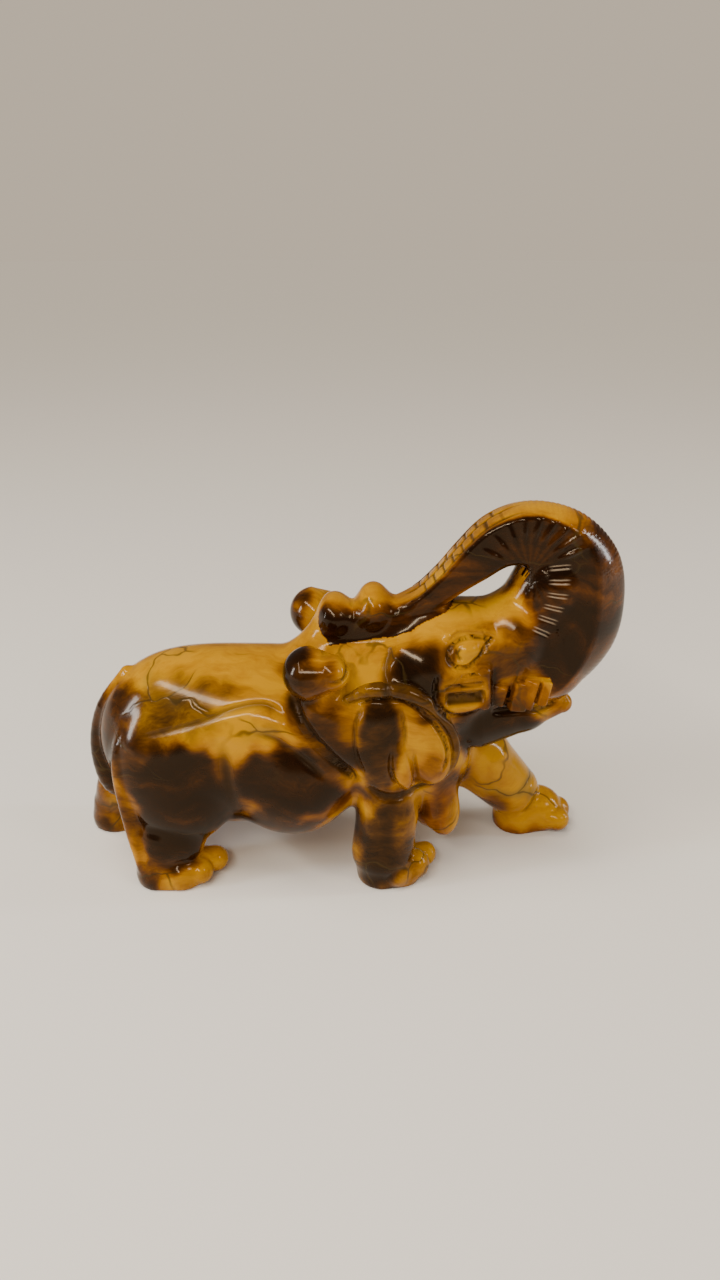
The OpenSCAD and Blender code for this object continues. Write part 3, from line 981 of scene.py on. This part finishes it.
def scratch_lines(tree, place):
    """1 on two thin lines about the middle of each scratch pair, 0 beside them."""
    x, _, z = node(tree, "ShaderNodeSeparateXYZ", Vector=place).outputs[:3]
    x = maths(tree, "SUBTRACT", x, SCRATCH_X * MM)
    z = maths(tree, "SUBTRACT", z, SCRATCH_Z * MM)
    turn = maths(tree, "MULTIPLY", maths(tree, "ARCTAN2", z, x), math.degrees(1))
    turn = maths(tree, "SUBTRACT", turn, SCRATCH_FIRST + SCRATCH_PITCH / 2)
    phase = maths(tree, "PINGPONG", turn, SCRATCH_PITCH / 2)          # greatest in the middle of each pair
    off_middle = maths(tree, "SUBTRACT", SCRATCH_PITCH / 2, phase)
    off_line = maths(tree, "ABSOLUTE", maths(tree, "SUBTRACT", off_middle, SCRATCH_SPLIT))
    return threshold(tree, off_line, 0.55, 0.2)


def tigers_eye():
    """Polished tiger's eye: clouds of gold and brown, silky fibre bands and thin dark veins."""
    material = bpy.data.materials.new("tigers_eye")
    material.use_nodes = True
    tree = material.node_tree
    place = node(tree, "ShaderNodeTexCoord").outputs["Object"]
    tone = node(tree, "ShaderNodeAttribute", {"attribute_name": "tone"}).outputs["Color"]
    warmth, hue, cut_shade = node(tree, "ShaderNodeSeparateColor", Color=tone).outputs[:3]
    raw = node(tree, "ShaderNodeAttribute", {"attribute_name": "raw"}).outputs["Fac"]

    # the stone's layers are bent: later textures read this bent place
    bend = noise(tree, place, 70.0, 3.0).outputs["Color"]
    bend = vector_maths(tree, "SUBTRACT", bend, i1=(0.5, 0.5, 0.5))
    bend = vector_maths(tree, "SCALE", bend, Scale=0.014)
    bent = vector_maths(tree, "ADD", place, i1=bend)

    layers = stretched(tree, bent, (0.3, 0.55, 0.2), (0.55, 1.0, 1.5))
    cloud = noise(tree, layers, 120.0, 5.0, 0.56).outputs["Fac"]
    silk = stretched(tree, bent, (0.2, -0.6, 0.0), (0.18, 1.0, 1.0))
    fibre = noise(tree, silk, 1500.0, 3.0, 0.7).outputs["Fac"]
    level = maths(tree, "MULTIPLY_ADD", maths(tree, "SUBTRACT", cloud, 0.5), 1.3, warmth)
    level = maths(tree, "MULTIPLY_ADD", maths(tree, "SUBTRACT", fibre, 0.5), 0.28, level, clamp=True)
    colour = ramp(tree, level, STONE_COLOURS)
    red = maths(tree, "MULTIPLY", hue, 0.8, clamp=True)
    colour = mix(tree, red, colour, RED_TINT, "MULTIPLY")
    green = maths(tree, "MULTIPLY", hue, -0.9, clamp=True)
    colour = mix(tree, green, colour, OLIVE_TINT, "MULTIPLY")

    # thin dark veins, broken up, and a few olive streaks along them
    cells = stretched(tree, bent, (0.0, 0.8, 0.3), (0.7, 0.8, 1.5))
    edges = node(tree, "ShaderNodeTexVoronoi", {"feature": "DISTANCE_TO_EDGE"}, Vector=cells, Scale=62.0)
    edge = edges.outputs["Distance"]
    breaks = noise(tree, place, 60.0, 2.0).outputs["Fac"]
    vein = threshold(tree, edge, 0.020, 0.003)
    vein = maths(tree, "MULTIPLY", vein, threshold(tree, breaks, 0.46, 0.58))
    olive = threshold(tree, edge, 0.10, 0.02)
    olive = maths(tree, "MULTIPLY", olive, threshold(tree, breaks, 0.55, 0.72))
    faint = maths(tree, "MULTIPLY", level, 0.5)          # the darker the stone, the fainter the olive
    olive = maths(tree, "MULTIPLY", olive, faint)
    colour = mix(tree, olive, colour, OLIVE_COLOUR)
    colour = mix(tree, maths(tree, "MULTIPLY", vein, 0.7), colour, VEIN_COLOUR)

    # cuts: painted shade in the deep ones, darker the deeper the cut, and pale ground stone in the scratches
    raw = maths(tree, "MULTIPLY", raw, scratch_lines(tree, place))
    colour = mix(tree, maths(tree, "MULTIPLY", cut_shade, 0.85), colour, CUT_SHADE_COLOUR)
    colour = mix(tree, maths(tree, "MULTIPLY", raw, 0.8), colour, RAW_COLOUR)

    smear = noise(tree, place, 260.0, 4.0).outputs["Fac"]
    gloss = maths(tree, "MULTIPLY_ADD", smear, 0.14, 0.08)
    # the cuts with painted shade are rougher too
    gloss = maths(tree, "MULTIPLY_ADD", cut_shade, 0.35, gloss)
    gloss = maths(tree, "MULTIPLY_ADD", raw, 0.4, gloss)
    pores = threshold(tree, noise(tree, place, 900.0, 2.0).outputs["Fac"], 0.70, 0.78)
    height = maths(tree, "MULTIPLY_ADD", vein, -0.6, maths(tree, "MULTIPLY", pores, -0.25))
    height = maths(tree, "MULTIPLY_ADD", noise(tree, place, 180.0, 2.0).outputs["Fac"], 0.08, height)
    relief = node(tree, "ShaderNodeBump", Strength=0.25, Distance=0.00012, Height=height).outputs[0]

    shader = tree.nodes["Principled BSDF"]
    for socket, value in (("Base Color", colour), ("Roughness", gloss), ("Normal", relief)):
        tree.links.new(value, shader.inputs[socket])
    for socket, value in (("IOR", 1.5), ("Specular IOR Level", 0.21), ("Specular Tint", POLISH_TINT),
                          ("Coat Weight", 0.06), ("Coat Roughness", 0.04), ("Coat IOR", 1.5)):
        shader.inputs[socket].default_value = value
    return material


# ---------- pieces ----------


def carve_pieces():
    """Makes the closed pieces and hangs each on the frame in the place of its node."""
    points, quads, normals = carved_surface()
    facts = stone(points, whole=True)
    tones, raw = stone_tones(facts)
    label = face_regions(facts.owner, quads)
    material = tigers_eye()
    for region, name in enumerate(REGIONS):
        corners, faces, lean, used, outer_count = part_surface(points, quads, normals, label, region)
        piece = make_piece(name + "_stone", corners, faces, lean, outer_count)
        paint(piece, used, len(corners) - len(used), tones, raw)
        piece.data.materials.append(material)
        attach(piece, "root")
        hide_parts(name)


# ---------- studio ----------

FLOOR_RADIUS, FLOOR_COLOUR = 4.0, (0.74, 0.67, 0.575, 1)
# light that falls on the figurine from all round, and the pale studio that the camera sees behind the floor
AMBIENT, BACKDROP = (0.90, 0.82, 0.72, 1), (0.62, 0.525, 0.41, 1)
WARM_WHITE = (1.0, 0.95, 0.88)
# name, place, size, power, colour and roll of each softbox
SOFTBOXES = (
    ("window", (-0.45, -0.12, 0.15), (0.06, 0.20), 1.3, (0.74, 0.84, 1.0), 0),
    ("strip", (-0.16, -0.27, 0.34), (0.50, 0.038), 2.05, (1.0, 0.97, 0.92), -24),
    ("side", (0.46, 0.02, 0.16), (0.03, 0.24), 0.8, (0.80, 0.88, 1.0), 0),
    ("fill", (0.40, -0.30, 0.30), (0.10, 0.10), 0.5, (1.0, 0.93, 0.84), 0))


def floor():
    bpy.ops.mesh.primitive_circle_add(vertices=96, radius=FLOOR_RADIUS, fill_type="NGON", location=(0, 0, 0))
    plane = bpy.context.object
    plane.name = "floor"
    material = bpy.data.materials.new("floor")
    material.use_nodes = True
    shader = material.node_tree.nodes["Principled BSDF"]
    shader.inputs["Base Color"].default_value = FLOOR_COLOUR
    shader.inputs["Roughness"].default_value = 0.8
    shader.inputs["Specular IOR Level"].default_value = 0.0
    plane.data.materials.append(material)


def softbox(name, place, size, power, colour, roll):
    """Lamp at place that faces the figurine, turned by roll degrees about its own axis."""
    light = bpy.data.lights.new(name, "AREA")
    light.shape = "RECTANGLE"
    light.size, light.size_y = size
    light.energy = power
    light.color = colour
    lamp = add_object(name, light)
    lamp.location = place
    facing = (Vector((0, 0, 0.03)) - lamp.location).to_track_quat("-Z", "Y")
    lamp.rotation_euler = (facing @ Quaternion((0, 0, 1), math.radians(roll))).to_euler()


def studio():
    floor()
    sun = bpy.data.lights.new("ceiling", "SUN")
    sun.energy = 2.0
    sun.angle = math.radians(30)
    sun.color = WARM_WHITE
    lamp = add_object("ceiling", sun)
    lamp.rotation_euler = Vector((-0.15, -0.05, 1.0)).to_track_quat("Z", "Y").to_euler()
    lamp.visible_glossy = False          # the softboxes alone are mirrored in the polish
    for settings in SOFTBOXES:
        softbox(*settings)
    world = bpy.data.worlds.new("studio")
    bpy.context.scene.world = world
    world.use_nodes = True
    tree = world.node_tree
    lit = tree.nodes["Background"]
    lit.inputs["Color"].default_value = AMBIENT
    lit.inputs["Strength"].default_value = 0.24
    seen = node(tree, "ShaderNodeBackground", Color=BACKDROP, Strength=1.0)
    is_seen = node(tree, "ShaderNodeLightPath").outputs["Is Camera Ray"]
    both = node(tree, "ShaderNodeMixShader", i0=is_seen, i1=lit.outputs[0], i2=seen.outputs[0])
    tree.links.new(both.outputs[0], tree.nodes["World Output"].inputs["Surface"])


# the photo's camera, worked out from the edges of its table: lens and sensor in mm, place in m
CAMERA_LENS, CAMERA_SENSOR = 26.24, 36
CAMERA_PLACE, CAMERA_TILT = (0.0037, -0.1495, 0.109), 23.67      # tilt in degrees below level


def camera():
    data = bpy.data.cameras.new("camera")
    data.sensor_width = CAMERA_SENSOR
    data.lens = CAMERA_LENS
    data.clip_start, data.clip_end = 0.005, 20
    view = add_object("camera", data)
    view.location = CAMERA_PLACE
    view.rotation_euler = (math.radians(90 - CAMERA_TILT), 0, 0)
    bpy.context.scene.camera = view


camera()
studio()
carve_pieces()
